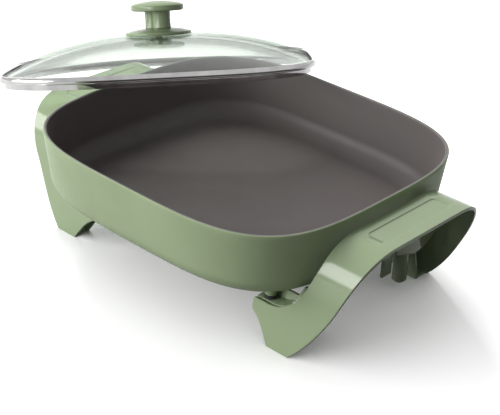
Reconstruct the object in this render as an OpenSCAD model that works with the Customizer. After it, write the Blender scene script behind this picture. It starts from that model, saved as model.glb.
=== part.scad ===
// Electric skillet: a rounded rectangular pan on two moulded handles that are
// also its legs, a buried ring heater with a plug-in inlet under the right
// handle, and a domed glass lid that lies askew on the pan's far left corner.
// X runs along the pan, Y across it, Z up. Heights are counted from the table;
// the finished part is lowered so that z = 0 is the pan's cooking surface. The
// pan's centre line is the Z axis.

/* [Pan] */
// Length of the pan over its rim, handle to handle
pan_len = 334; // [300:1:380]
// Width of the pan over its rim, front to back
pan_wid = 305; // [298:1:325]
// Squareness of the pan's outline: 2 is an ellipse, 5 is nearly a rectangle
corner_power = 3.74; // [3.4:0.02:4.4]
// Depth of the pan outside, from its rim to its underside
pan_depth = 66; // [60:1:74]
// Thickness of the pan's wall
wall_t = 3; // [2.5:0.1:4]
// Thickness of the pan's floor
floor_t = 5; // [4:0.5:7]
// How far the wall leans in from the rim to the floor bend
wall_draft = 5; // [3:0.5:9]
// Radius of the bend from the wall into the floor
floor_bend = 20; // [14:1:26]
// Height of the rim above the table
rim_height = 124.5; // [118:0.5:135]

/* [Handles] */
// Distance of the grip's top below the rim
grip_drop = 10.5; // [8:0.5:14]
// Width of the grip, from its pan side to its outer edge
grip_wid = 42; // [36:1:50]
// Gap between the rim and the grip
grip_gap = 4.2; // [3:0.1:8]
// Half length of the grip's flat top
grip_half = 46; // [38:1:52]
// Thickness of the moulded walls
mould_t = 3; // [2.6:0.1:3.2]
// Distance from the pan's middle line to the outer face of a foot
foot_reach = 102; // [97:1:112]
// Depth of a foot, front to back
foot_depth = 19.5; // [18:0.5:22]
// How far the inner wall of a leg leans in, from the foot up to the shelf
wall_lean = 10; // [9:0.5:12]
// Length of a foot along the pan
foot_len = 24; // [18:1:30]
// How far the outer edge of a foot lies inside the rim's end
foot_inset = 16; // [10:1:24]
// Height of the shelf that carries the pan
shelf_height = 37; // [34:0.5:40]
// Distance of the apron between the legs, inside the grip
apron_inset = 9.2; // [9:0.2:12]
// Height of the apron's lower edge above the table
apron_low = 43.5; // [42:0.5:46]
// Length of the recess in the grip's top
recess_len = 92; // [70:1:100]
// Width of the recess in the grip's top
recess_wid = 20; // [14:1:26]
// Depth of the recess in the grip's top
recess_depth = 0.8; // [0.4:0.1:1.2]

/* [Fixings] */
// How far the four standoffs lie inside the rim's end
standoff_inset = 53; // [51:0.5:55]
// Diameter of a standoff
standoff_d = 11; // [9:0.5:11.5]
// Diameter of a handle screw's shank
screw_d = 5; // [4:0.5:6]
// Diameter of a handle screw's head
screw_head_d = 10; // [8:0.5:10.5]
// Height of a handle screw's head
screw_head_h = 3; // [2:0.5:4]
// Thickness of the insulating washers
washer_t = 3.5; // [2:0.5:4]

/* [Heater and inlet] */
// Diameter of the heater's sheath
heater_d = 7; // [6:0.5:8]
// How far the heater's loop lies inside the rim's ends
heater_end_inset = 63; // [60:1:75]
// How far the heater's loop lies inside the rim's sides
heater_side_inset = 90; // [86:1:92]
// Radius of the heater's bends
heater_bend = 18; // [14:1:19]
// Distance between the two terminal pins
pin_pitch = 28; // [24:1:30]
// Diameter of a terminal pin
pin_d = 4.6; // [4:0.1:5]
// Length of a terminal pin outside its insulator
pin_len = 20; // [14:1:24]
// Diameter of the ceramic insulators
insulator_d = 6.6; // [6:0.1:6.8]
// Length of the ceramic insulators
insulator_len = 9; // [6:0.5:12]
// Bore of the sleeve that takes the control's probe
probe_bore_d = 6.6; // [6:0.1:7.5]
// Wall of the probe sleeve
probe_wall = 1; // [0.8:0.1:1.5]
// Length of the probe sleeve
probe_len = 70; // [50:1:90]
// Width of the window in the guard before the terminals
guard_window = 57; // [52:0.5:58]
// Distance of the guard's front inside the rim's end
guard_inset = 17; // [16:0.5:19]
// Width of each of the guard's wings
wing_wid = 13; // [11:0.5:13.5]
// Height of the wings' lower edge above the table
wing_low = 24; // [20:0.5:30]
// Wall thickness of the guard
guard_t = 2.6; // [2:0.1:3]
// Diameter of the posts beside the guard
post_d = 14; // [12:0.5:16]
// Distance from the middle line to a post's axis
post_y = 58.5; // [57:0.5:60]
// Height of the posts' lower ends above the table
post_low = 8.5; // [7:0.5:16]
// Diameter of the guard's studs
stud_d = 4; // [3:0.5:4.5]

/* [Lid] */
// How far the lid's band overhangs the rim
lid_overhang = 1; // [0.4:0.1:3]
// Height of the dome above the middle of the band
dome_height = 32.5; // [26:0.5:40]
// Thickness of the glass
glass_t = 4; // [3:0.1:5]
// Width of the flat edge of the glass
glass_edge = 6; // [5:0.5:8]
// Height of the band
band_h = 7.2; // [6.4:0.1:9]
// Thickness of the band's metal
band_t = 0.8; // [0.6:0.1:1.2]
// Depth of the locating skirt below the band
skirt_h = 5.7; // [4:0.1:8]
// Gap between the skirt and the inside of the pan
skirt_gap = 1.2; // [0.8:0.1:2]

/* [Knob] */
// Diameter of the knob's base
knob_base_d = 72; // [60:1:80]
// Height of the knob's base
knob_base_h = 7; // [5:0.5:9]
// Height of the knob's stem
stem_h = 18; // [14:1:22]
// Diameter of the stem's larger lobe
stem_lobe_d = 20; // [16:1:24]
// Distance between the stem's two lobes
stem_spread = 11; // [8:1:13]
// Length of the knob's cap
cap_len = 62; // [54:1:70]
// Width of the knob's cap
cap_wid = 50; // [44:1:54]
// Thickness of the cap at its edge
cap_edge = 7; // [4:0.5:9]
// Rise of the cap's crown
cap_crown = 4; // [2:0.2:6]
// Turn of the knob on the lid
knob_turn = -38; // [-90:1:90]
// Diameter of the knob screw
knob_screw_d = 5; // [4:0.5:6]
// Thickness of the seals above and below the glass
seal_t = 1.5; // [1:0.5:2.5]

/* [Lid at rest] */
// Lid's middle, along the pan, from the rim's left end
lid_left = 58; // [55:0.5:61]
// Lid's middle, across the pan, from the rim's rear
lid_rear = 46.5; // [44:0.5:50]
// Turn of the lid about the vertical
lid_turn = 44; // [42:0.2:46]
// Tilt of the lid
lid_tilt = 18.7; // [17:0.1:20]
// Direction of the tilt's axis
lid_tilt_way = 239.2; // [237:0.1:241]

/* [Hidden] */

sage = [0.64, 0.70, 0.57];
steel = [0.78, 0.78, 0.80];
eps = 0.01;
fit = 0.05;             // gap between pieces that are clamped together
rest_gap = 0.3;         // gap where the lid lies on the rim
ring_n = 96;            // points round the pan's outline
fine = 64;

// Pan
half_len = pan_len / 2;
half_wid = pan_wid / 2;
pan_low = rim_height - pan_depth;
wall_run = pan_depth - floor_bend;
bend_steps = 7;
lip_r = 1;              // rounding of the rim's edge

// Handle, in the right handle's place
grip_in = half_len + grip_gap;
grip_out = grip_in + grip_wid;
grip_top = rim_height - grip_drop;
foot_out = half_len - foot_inset;
foot_in = foot_out - foot_len;
standoff_x = half_len - standoff_inset;
standoff_y = foot_reach - foot_depth + wall_lean / 2 - 3.4;
shelf_end = standoff_x - standoff_d / 2 - 4.8;
saddle_x = standoff_x + standoff_d / 2;
fin_h = 8.5;            // height of a leg's inner wall above the shelf
fin_top = pan_low - 1.5;
apron_x = grip_in - apron_inset;
apron_top = pan_low + 2.5;

// Fixings
standoff_low = shelf_height + washer_t;
flat_washer_t = 1;
screw_hole_d = screw_d + 0.6;

// Heater and inlet
heater_half_len = half_len - heater_end_inset;
heater_half_wid = half_wid - heater_side_inset;
heater_z = pan_low - heater_d / 2 - fit;
pin_z = heater_z;
element_end = half_len - 36;
insulator_x = element_end;
pin_x = insulator_x + insulator_len;
guard_x = half_len - guard_inset;
guard_top = pan_low - fit;
stud_x = guard_x - 21;
stud_y = guard_window / 2 + wing_wid + 5.4;
stud_edge = 8;          // from a stud to the flange's end
wing_rise = 12;         // from a wing's lower edge to that of the wall behind it
post_x = guard_x - 2;
post_cone = 2;          // chamfer at a post's lower end
stud_len = 9;
nut_h = 3.2;
nut_d = 7.6;            // across corners
probe_z = pan_low - probe_bore_d / 2 - probe_wall - fit;

// Lid, in its own frame: z = 0 is the middle of the band
lid_half_len = half_len + lid_overhang;
lid_half_wid = half_wid + lid_overhang;
skirt_inset = lid_overhang + wall_t + skirt_gap;
glass_low = -band_h / 2 + band_t + fit;
glass_half_len = lid_half_len - band_t - fit;
glass_half_wid = lid_half_wid - band_t - fit;
dome_rise = dome_height - glass_low - glass_t;
dome_power = 2.45;
dome_steps = 9;

// Knob, in the lid's frame
knob_z = dome_height + 0.1;
base_lip = dome_rise * pow((knob_base_d / 2 - 1.4) / glass_half_len, dome_power);
cap_round = min(2.2, 0.4 * cap_edge);
stem_z = knob_z + knob_base_h + fit;
cap_z = stem_z + stem_h + fit;
seal_d = 26;
knob_hole_d = knob_screw_d + 3;
under_z = dome_height - glass_t - 0.2;
grommet_d = 20;
knob_washer_d = 22;
knob_washer_t = 1.2;
stem_thread = 12;       // depth of the tapped hole

// Everything is drawn with the table at z = 0 and lowered by this
module placed() { translate([0, 0, -pan_low - floor_t]) children(); }

// ---- curves ----------------------------------------------------------

// A point on the rounded rectangle with half sizes a and b and squareness n
function outline_point(a, b, n, t) = [
    a * sign(cos(t)) * pow(abs(cos(t)), 2 / n),
    b * sign(sin(t)) * pow(abs(sin(t)), 2 / n)];

function outline(a, b, n = corner_power, count = ring_n) =
    [for (i = [0 : count - 1]) outline_point(a, b, n, 360 * i / count)];

function ring_at(a, b, z, n = corner_power) = [for (p = outline(a, b, n)) [p[0], p[1], z]];

// A point on a cubic Bezier curve
function bezier(p, t) = pow(1 - t, 3) * p[0] + 3 * t * pow(1 - t, 2) * p[1]
    + 3 * t * t * (1 - t) * p[2] + t * t * t * p[3];

function bezier_points(p, steps) = [for (i = [0 : steps]) bezier(p, i / steps)];

// Left normal of a path at point i
function path_normal(p, i) =
    let (a = p[max(i - 1, 0)], b = p[min(i + 1, len(p) - 1)], d = (b - a) / norm(b - a)) [-d[1], d[0]];

function path_offset(p, by) = [for (i = [0 : len(p) - 1]) p[i] + by * path_normal(p, i)];

function turned(p) = [for (i = [len(p) - 1 : -1 : 0]) p[i]];

function mirrored(p) = [for (i = [len(p) - 1 : -1 : 0]) [-p[i][0], p[i][1]]];

// ---- shells made of rings --------------------------------------------

// Faces between successive rings, from the first ring to the last
function wall_faces(rings, n) = [for (r = [0 : rings - 2]) for (i = [0 : n - 1])
    [r * n + i, r * n + (i + 1) % n, (r + 1) * n + (i + 1) % n, (r + 1) * n + i]];

function flip(faces) = [for (f = faces) [f[3], f[2], f[1], f[0]]];

// Triangles that join a four-cornered face list
function split(faces) = [for (f = faces) for (k = [0, 1]) k == 0 ? [f[0], f[1], f[2]] : [f[0], f[2], f[3]]];

// A closed band whose cross section is swept round the outline: rings in order round the section
module ring_band(rings) {
    n = ring_n;
    m = len(rings);
    points = [for (r = rings) each r];
    faces = [for (r = [0 : m - 1]) for (i = [0 : n - 1])
        [r * n + i, r * n + (i + 1) % n, ((r + 1) % m) * n + (i + 1) % n, ((r + 1) % m) * n + i]];
    polyhedron(points, split(flip(faces)));
}

// A closed vessel: rings from the middle of one side, over the edge, to the middle of the other
module ring_vessel(rings, first, last) {
    n = ring_n;
    m = len(rings);
    points = [for (r = rings) each r, first, last];
    caps = [for (i = [0 : n - 1]) each [[m * n, (i + 1) % n, i],
        [m * n + 1, (m - 1) * n + i, (m - 1) * n + (i + 1) % n]]];
    polyhedron(points, [for (f = concat(split(wall_faces(m, n)), caps)) [f[2], f[1], f[0]]]);
}

// ---- pan -------------------------------------------------------------

// Inset and depth of the outer wall, rim to floor
function pan_section() = concat([[0, lip_r], [wall_draft, wall_run]],
    [for (i = [1 : bend_steps]) let (t = 90 * i / bend_steps)
        [wall_draft + floor_bend * (1 - cos(t)), wall_run + floor_bend * sin(t)]]);

function pan_ring(inset, depth) = ring_at(half_len - inset, half_wid - inset, rim_height - depth);

// The same for the inside, moved in by the wall and up by the floor
function pan_inner(s) = [s[0] + wall_t, s[1] * (pan_depth - floor_t) / pan_depth];

module pan() {
    section = pan_section();
    last = len(section) - 1;
    outer = [for (i = [last : -1 : 0]) pan_ring(section[i][0], section[i][1])];
    lip = [pan_ring(lip_r / 2, 0), pan_ring(wall_t - lip_r / 2, 0)];
    inner = [for (s = section) pan_ring(pan_inner(s)[0], pan_inner(s)[1])];
    color(sage) placed() ring_vessel(concat(outer, lip, inner),
        [0, 0, pan_low], [0, 0, pan_low + floor_t]);
}

// ---- handles ---------------------------------------------------------

// Outer face of the leg in the YZ plane, from the foot up to the grip's middle
function leg_face() = concat(
    bezier_points([[foot_reach, 0], [foot_reach - 3.7, 0.18 * grip_top], [foot_reach - 9.7, 0.37 * grip_top],
        [foot_reach - 10.5, 0.54 * grip_top]], 6),
    [for (i = [1 : 10]) bezier([[foot_reach - 10.5, 0.54 * grip_top], [foot_reach - 12, 0.82 * grip_top],
        [grip_half + 28, grip_top], [grip_half, grip_top]], i / 10)]);

function arch_face() = concat(leg_face(), mirrored(leg_face()));

// Outer edge of the moulding in the XZ plane, from the grip down to the foot
function outer_edge() = bezier_points([[grip_out, grip_top + eps], [grip_out - 14, 0.67 * grip_top],
    [foot_out + 32, 0.27 * grip_top], [foot_out, 0]], 14);

// Pan-side edge below the shelf, from the foot up to the shelf's end
function foot_edge() = [[foot_in, 0], [foot_in - 4.5, 7], [foot_in - 7.5, 12],
    [shelf_end + 9, shelf_height - 16.6], [shelf_end + 4.7, shelf_height - 13.4],
    [shelf_end + 0.9, shelf_height - 11.3], [shelf_end, shelf_height - 6.4]];

// Pan-side edge along the shelf, a saddle that rises to the grip
function saddle_edge() = concat([[shelf_end, shelf_height]],
    bezier_points([[saddle_x, shelf_height], [foot_out + 1, shelf_height], [grip_in - 6, 0.66 * grip_top],
        [grip_in, grip_top + eps]], 14));

function inner_edge() = concat(foot_edge(), saddle_edge());

// A flat outline in the YZ plane, drawn along X
module along_x(from, to) {
    translate([from, 0, 0]) rotate([90, 0, 90]) linear_extrude(to - from) children();
}

// A flat outline in the XZ plane, drawn along Y
module along_y(from, to) {
    translate([0, to, 0]) rotate([90, 0, 0]) linear_extrude(to - from) children();
}

// The bent sheet that is grip and legs in one
module handle_sheet() {
    intersection() {
        along_x(shelf_end - 2, grip_out + 2)
            polygon(concat(arch_face(), turned(path_offset(arch_face(), mould_t))));
        along_y(-foot_reach - 2, foot_reach + 2)
            polygon(concat(outer_edge(), inner_edge()));
    }
}

// Cross wall under the pan's edge, in two halves beside the inlet
module apron() {
    side = foot_reach - 11;
    corner = bezier_points([[side - 33, apron_low], [side - 21, apron_low], [side - 11, apron_low + 3.5],
        [side, apron_low + 13.5]], 8);
    near = guard_window / 2 + 2;
    for (s = [0, 1]) mirror([0, s, 0]) along_x(apron_x - mould_t, apron_x)
        polygon(concat([[near, apron_top], [near, apron_low + 8.5]], corner, [[side, apron_top]]));
}

// Inner wall of one leg, at +Y: it leans in up to the shelf and stands upright above it
module leg_wall() {
    low = foot_reach - foot_depth;
    high = low - wall_lean;
    intersection() {
        along_x(shelf_end, foot_out)
            polygon([[low, 0], [low + mould_t, 0], [high + mould_t, shelf_height + fin_h],
                [high + mould_t, fin_top], [high, fin_top], [high, shelf_height + fin_h]]);
        along_y(0, foot_reach) {
            polygon(concat(outer_edge(), inner_edge()));
            polygon([[shelf_end, shelf_height - 1], [shelf_end + 6, shelf_height + fin_h],
                [foot_out - 13, shelf_height + fin_h], [foot_out - 7, fin_top], [foot_out, fin_top],
                [foot_out, shelf_height - 1]]);
        }
    }
}

// Shelf of one leg, a web that follows the saddle between the leg's two walls
module leg_shelf() {
    edge = [for (p = saddle_edge()) if (p[1] < fin_top) p];
    intersection() {
        along_y(foot_reach - foot_depth - wall_lean + mould_t / 2, foot_reach)
            polygon(concat(edge, turned(path_offset(edge, -mould_t))));
        along_x(shelf_end - 1, grip_out) polygon(path_offset(arch_face(), mould_t / 2));
    }
}

module leg_sole() {
    intersection() {
        translate([foot_in - 1, foot_reach - foot_depth, 0])
            cube([foot_len + 1, foot_depth - mould_t / 2, mould_t]);
        along_y(0, foot_reach) polygon(concat(outer_edge(), inner_edge()));
    }
}

// The recess in the grip's top, where the fingers lie
module grip_recess() {
    translate([(grip_in + grip_out) / 2, 0, grip_top - recess_depth])
        linear_extrude(recess_depth + 1)
            for (s = [-1, 1])
                union() {
                    square([recess_wid - 8, recess_len], center = true);
                    square([recess_wid, recess_len - 8], center = true);
                    for (k = [-1, 1])
                        translate([k * (recess_wid / 2 - 4), s * (recess_len / 2 - 4)]) circle(4, $fn = 32);
                }
}

// One moulding, drawn at the right-hand end
module handle() {
    difference() {
        union() {
            handle_sheet();
            apron();
            for (s = [0, 1]) mirror([0, s, 0]) {
                leg_wall();
                leg_shelf();
                leg_sole();
            }
        }
        grip_recess();
        for (s = [-1, 1])
            translate([standoff_x, s * standoff_y, shelf_height - mould_t - 1])
                cylinder(h = mould_t + 2, d = screw_hole_d, $fn = fine);
    }
}

module handle_right() { color(sage) placed() handle(); }

module handle_left() { color(sage) placed() mirror([1, 0, 0]) handle(); }

// ---- fixings ---------------------------------------------------------

// Its children at the four places where the pan stands on the handles
module at_standoffs() {
    for (x = [-1, 1], y = [-1, 1]) translate([x * standoff_x, y * standoff_y, 0]) children();
}

module tube(h, d, bore) {
    difference() {
        cylinder(h = h, d = d, $fn = fine);
        translate([0, 0, -1]) cylinder(h = h + 2, d = bore, $fn = fine);
    }
}

standoff_thread = 12;   // depth of the tapped hole

module standoffs() {
    color(sage) placed() at_standoffs()
        translate([0, 0, standoff_low]) difference() {
            cylinder(h = pan_low - standoff_low, d = standoff_d, $fn = fine);
            translate([0, 0, -1]) cylinder(h = standoff_thread + 1, d = screw_d + 2 * fit, $fn = fine);
        }
}

module insulating_washers() {
    color([0.25, 0.25, 0.24]) placed() at_standoffs()
        translate([0, 0, shelf_height]) tube(washer_t, standoff_d + 0.6, screw_hole_d);
}

head_z = shelf_height - mould_t - flat_washer_t;

module screw_washers() {
    color(steel) placed() at_standoffs()
        translate([0, 0, head_z]) tube(flat_washer_t - fit, screw_head_d + 0.8, screw_hole_d);
}

// A pan-head screw, its head's bearing face at z = 0 and its shank upwards
module pan_head_screw(shank, d, head_d, head_h) {
    difference() {
        union() {
            cylinder(h = shank, d = d, $fn = fine);
            translate([0, 0, -head_h]) cylinder(h = head_h, d1 = head_d - 1.5, d2 = head_d, $fn = fine);
        }
        translate([0, 0, -head_h - eps]) for (a = [0, 90]) rotate([0, 0, a])
            translate([-head_d / 4, -0.6, 0]) cube([head_d / 2, 1.2, head_h / 2]);
    }
}

module handle_screws() {
    color(steel) placed() at_standoffs() translate([0, 0, head_z - fit])
        pan_head_screw(standoff_low + standoff_thread - 2 - head_z, screw_d, screw_head_d, screw_head_h);
}

// ---- heater and inlet ------------------------------------------------

// A quarter bend of the sheath, its centre at the origin, from +X to +Y
module sheath_bend() {
    rotate_extrude(angle = 90, $fn = fine) translate([heater_bend, 0]) circle(d = heater_d, $fn = 24);
}

// A straight length of the sheath along X
module sheath_x(from, to, y) {
    translate([from, y, 0]) rotate([0, 90, 0]) cylinder(h = to - from, d = heater_d, $fn = 24);
}

// A straight length of the sheath along Y
module sheath_y(from, to, x) {
    translate([x, from, 0]) rotate([-90, 0, 0]) cylinder(h = to - from, d = heater_d, $fn = 24);
}

module heating_element() {
    pin_y = pin_pitch / 2;
    right = heater_half_len - heater_bend;
    top = heater_half_wid - heater_bend;
    color([0.35, 0.34, 0.33]) placed() translate([0, 0, heater_z]) {
        for (s = [0, 1]) mirror([0, s, 0]) {
            translate([right, top, 0]) sheath_bend();
            sheath_x(-right, right, heater_half_wid);
            translate([-right, top, 0]) rotate([0, 0, 90]) sheath_bend();
            sheath_y(pin_y + heater_bend, top, heater_half_len);
            translate([heater_half_len + heater_bend, pin_y + heater_bend, 0])
                rotate([0, 0, 180]) sheath_bend();
            sheath_x(heater_half_len + heater_bend, element_end, pin_y);
        }
        sheath_y(-top, top, -heater_half_len);
    }
}

// Its children at the two ends of the heater, pointing along +X
module at_pins(x) {
    for (s = [-1, 1]) translate([x, s * pin_pitch / 2, pin_z]) rotate([0, 90, 0]) children();
}

module pin_insulators() {
    color([0.93, 0.92, 0.88]) placed() at_pins(insulator_x + fit)
        cylinder(h = insulator_len - 2 * fit, d = insulator_d, $fn = fine);
}

module terminal_pins() {
    color(steel) placed() at_pins(pin_x) {
        cylinder(h = pin_len - 1.5, d = pin_d, $fn = fine);
        translate([0, 0, pin_len - 1.5]) cylinder(h = 1.5, d1 = pin_d, d2 = pin_d - 1.6, $fn = fine);
    }
}

module probe_sleeve() {
    color(steel) placed() translate([element_end - probe_len, 0, probe_z]) rotate([0, 90, 0]) difference() {
        cylinder(h = probe_len, d = probe_bore_d + 2 * probe_wall, $fn = fine);
        translate([0, 0, 3]) cylinder(h = probe_len, d = probe_bore_d, $fn = fine);
    }
}

// Its children at the guard's two studs
module at_studs() {
    for (s = [-1, 1]) translate([stud_x, s * stud_y, 0]) children();
}

module terminal_guard() {
    near = guard_window / 2;
    color(sage) placed() difference() {
        for (s = [0, 1]) mirror([0, s, 0]) {
            translate([guard_x - guard_t, near, wing_low]) cube([guard_t, wing_wid, guard_top - wing_low]);
            translate([stud_x - stud_edge, near + wing_wid - guard_t, wing_low + wing_rise])
                cube([guard_x - stud_x + stud_edge, guard_t, guard_top - wing_low - wing_rise]);
            translate([stud_x - stud_edge, near, guard_top - guard_t])
                cube([guard_x - stud_x + stud_edge, post_y - near, guard_t]);
            translate([post_x, post_y, post_low]) {
                translate([0, 0, post_cone])
                    cylinder(h = guard_top - post_low - post_cone, d = post_d, $fn = fine);
                cylinder(h = post_cone, d1 = post_d - 2 * post_cone, d2 = post_d, $fn = fine);
            }
        }
        at_studs() translate([0, 0, guard_top - guard_t - 1])
            cylinder(h = guard_t + 2, d = stud_d + 0.6, $fn = fine);
    }
}

module guard_studs() {
    color(steel) placed() at_studs()
        translate([0, 0, pan_low - fit - stud_len]) cylinder(h = stud_len, d = stud_d, $fn = fine);
}

module guard_nuts() {
    color(steel) placed() at_studs() translate([0, 0, guard_top - guard_t - fit - nut_h]) difference() {
        cylinder(h = nut_h, d = nut_d, $fn = 6);
        translate([0, 0, -1]) cylinder(h = nut_h + 2, d = stud_d + 2 * fit, $fn = fine);
    }
}

// ---- lid -------------------------------------------------------------

function lid_ring(inset, z, n = corner_power) = ring_at(lid_half_len - inset, lid_half_wid - inset, z, n);

// Height of the glass's underside at a share of the way from the middle to the flat edge
function dome_at(share) = glass_low + dome_rise * (1 - pow(share, dome_power));

// Rings of one face of the glass, from near the middle to its edge
function glass_face(lift) = [for (i = [1 : dome_steps]) let (share = i / dome_steps)
    ring_at((glass_half_len - glass_edge) * share, (glass_half_wid - glass_edge) * share,
        dome_at(share) + lift,
        2 + (corner_power - 2) * share)];

module lid_glass_local() {
    edge = [ring_at(glass_half_len, glass_half_wid, glass_low),
        ring_at(glass_half_len, glass_half_wid, glass_low + glass_t)];
    difference() {
        ring_vessel(concat(glass_face(0), edge, turned(glass_face(glass_t))),
            [0, 0, dome_at(0)], [0, 0, dome_at(0) + glass_t]);
        translate([0, 0, dome_at(0) - 5]) cylinder(h = 20, d = knob_hole_d, $fn = fine);
    }
}

module lid_band_local() {
    top = band_h / 2;
    low = -band_h / 2;
    inner_lip = glass_edge - 1;
    glass_top = glass_low + glass_t + fit;
    skirt_low = low - skirt_h;
    ring_band([lid_ring(inner_lip, glass_top + band_t), lid_ring(2, top), lid_ring(0, top - 2),
        lid_ring(0, low + 1.5),
        lid_ring(1.5, low), lid_ring(skirt_inset, low), lid_ring(skirt_inset, skirt_low),
        lid_ring(skirt_inset + band_t, skirt_low), lid_ring(skirt_inset + band_t, low + band_t),
        lid_ring(band_t, low + band_t), lid_ring(band_t, glass_top), lid_ring(inner_lip, glass_top)]);
}

// The lid's turn and tilt at rest
module lid_turned() {
    rotate(a = lid_tilt, v = [cos(lid_tilt_way), sin(lid_tilt_way), 0]) rotate([0, 0, lid_turn]) children();
}

// Where a point of the lid's frame lies once the lid is turned and tilted
function lid_place(p) =
    let (t = [p[0] * cos(lid_turn) - p[1] * sin(lid_turn), p[0] * sin(lid_turn) + p[1] * cos(lid_turn), p[2]],
        k = [cos(lid_tilt_way), sin(lid_tilt_way), 0])
    t * cos(lid_tilt) + cross(k, t) * sin(lid_tilt) + k * (k * t) * (1 - cos(lid_tilt));

lid_x = -half_len - lid_left;
lid_y = half_wid - lid_rear;

// Share of the way out to the rim at which a point lies: 1 is on the rim's edge
function rim_share(p, inset) = pow(pow(abs(p[0]) / (half_len - inset), corner_power)
    + pow(abs(p[1]) / (half_wid - inset), corner_power), 1 / corner_power);

// How high the lid has to be lifted to clear what lies under one of its points
function lift_for(p) =
    (rim_share(p, 0) < 1.003 && rim_share(p, wall_t) > 0.997) ? rim_height - p[2]
    : (p[0] < -grip_in && p[0] > -grip_out && abs(p[1]) < grip_half + 14) ? grip_top - p[2]
    : -1000;

lid_low_points = [for (inset = [skirt_inset, skirt_inset + band_t]) for (i = [0 : 719])
    let (q = outline_point(lid_half_len - inset, lid_half_wid - inset, corner_power, i / 2))
    lid_place([q[0], q[1], -band_h / 2 - skirt_h]) + [lid_x, lid_y, 0]];

lid_z = max([for (p = lid_low_points) lift_for(p)]) + rest_gap;

module lid_at_rest() { translate([lid_x, lid_y, lid_z]) lid_turned() children(); }

module lid_glass() { color([0.85, 0.9, 0.9, 0.4]) placed() lid_at_rest() lid_glass_local(); }

module lid_band() { color(steel) placed() lid_at_rest() lid_band_local(); }

// ---- knob ------------------------------------------------------------

module knob_at_rest(z) {
    placed() lid_at_rest() translate([0, 0, z]) rotate([0, 0, knob_turn]) children();
}

module knob_base() {
    r = knob_base_d / 2;
    color(sage) knob_at_rest(knob_z) difference() {
        rotate_extrude($fn = fine) polygon([[0, 0], [seal_d / 2 + 2, 0],
            [r - 1.4, -base_lip], [r - 0.4, 0], [r, 0.6],
            [r, knob_base_h * 0.31], [r - 1, knob_base_h * 0.45], [r * 0.75, knob_base_h * 0.73],
            [r * 0.5, knob_base_h * 0.9], [r * 0.36, knob_base_h], [0, knob_base_h]]);
        translate([0, 0, -1]) cylinder(h = knob_base_h + 4, d = knob_screw_d + 0.6, $fn = fine);
        translate([0, 0, -1]) cylinder(h = seal_t + 1, d = seal_d + 0.4, $fn = fine);
    }
}

module knob_seal() {
    color([0.15, 0.15, 0.15]) knob_at_rest(dome_height + fit) tube(seal_t - fit, seal_d, knob_screw_d + 0.6);
}

module knob_stem() {
    color(sage) knob_at_rest(stem_z) difference() {
        linear_extrude(stem_h) for (k = [-1, 1])
            translate([k * stem_spread / 2, 0]) circle(d = stem_lobe_d, $fn = fine);
        translate([0, 0, -1]) cylinder(h = stem_thread + 1, d = knob_screw_d + 2 * fit, $fn = fine);
    }
}

module knob_cap() {
    half = cap_len / 2;
    wide = cap_wid / 2;
    under = [for (share = [0.4, 0.75]) ring_at(half * share, wide * share, 0, 2)];
    rim = [for (t = [-60, -30, 0, 1, 30, 60]) let (in = cap_round * (1 - cos(t)), up = cap_round * sin(t))
        ring_at(half - in, wide - in, (t > 0 ? cap_edge - cap_round : cap_round) + up, 2)];
    crown = [for (share = [0.75, 0.5, 0.25])
        ring_at(half * share, wide * share, cap_edge + cap_crown * (1 - share * share), 2)];
    color(sage) knob_at_rest(cap_z)
        ring_vessel(concat(under, rim, crown), [0, 0, 0], [0, 0, cap_edge + cap_crown]);
}

module knob_grommet() {
    color([0.15, 0.15, 0.15]) knob_at_rest(under_z - seal_t) difference() {
        union() {
            cylinder(h = seal_t, d = grommet_d, $fn = fine);
            cylinder(h = seal_t + glass_t - 0.2, d = knob_hole_d - 0.2, $fn = fine);
        }
        translate([0, 0, -1]) cylinder(h = seal_t + glass_t + 2, d = knob_screw_d + 0.6, $fn = fine);
    }
}

module knob_washer() {
    color(steel) knob_at_rest(under_z - seal_t - fit - knob_washer_t)
        tube(knob_washer_t, knob_washer_d, knob_screw_d + 0.6);
}

module knob_screw() {
    low = under_z - seal_t - 2 * fit - knob_washer_t;
    color(steel) knob_at_rest(low)
        pan_head_screw(stem_z + stem_thread - 2 - low, knob_screw_d, 2 * knob_screw_d, 3);
}

pan();
heating_element();
terminal_pins();
pin_insulators();
probe_sleeve();
terminal_guard();
guard_studs();
guard_nuts();
standoffs();
handle_right();
handle_left();
insulating_washers();
handle_screws();
screw_washers();
lid_glass();
lid_band();
knob_base();
knob_stem();
knob_cap();
knob_seal();
knob_grommet();
knob_washer();
knob_screw();
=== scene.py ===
"""Electric skillet with a loose glass lid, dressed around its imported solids.

The solids give every place and size; each piece here is a finer form of one of
them and replaces it. Lengths are in millimetres and heights are counted from
the table until a mesh is made, which is in metres in the frame of the solids.
The lid's pieces are made about the middle of its band, then moved to where it lies.
"""

from math import atan2, cos, hypot, pi, radians, sin, sqrt

import bmesh
import bpy
from mathutils import Matrix, Vector


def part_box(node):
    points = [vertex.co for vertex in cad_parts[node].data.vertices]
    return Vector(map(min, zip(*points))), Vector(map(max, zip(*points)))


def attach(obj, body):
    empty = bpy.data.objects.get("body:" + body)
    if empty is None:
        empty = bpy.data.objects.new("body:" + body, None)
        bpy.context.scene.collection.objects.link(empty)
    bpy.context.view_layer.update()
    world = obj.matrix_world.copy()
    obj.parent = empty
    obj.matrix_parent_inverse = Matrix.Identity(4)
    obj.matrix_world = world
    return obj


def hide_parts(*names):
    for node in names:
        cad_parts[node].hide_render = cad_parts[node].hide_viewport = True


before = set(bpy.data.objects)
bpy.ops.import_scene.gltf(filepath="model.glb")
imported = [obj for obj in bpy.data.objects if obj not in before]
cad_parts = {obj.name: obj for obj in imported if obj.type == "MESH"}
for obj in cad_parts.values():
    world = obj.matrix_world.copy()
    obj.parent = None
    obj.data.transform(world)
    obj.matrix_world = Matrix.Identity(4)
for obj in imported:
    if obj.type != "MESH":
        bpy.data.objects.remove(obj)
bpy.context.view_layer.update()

MM = 0.001
MERGE = 1e-6  # points this near in metres are one
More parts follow.
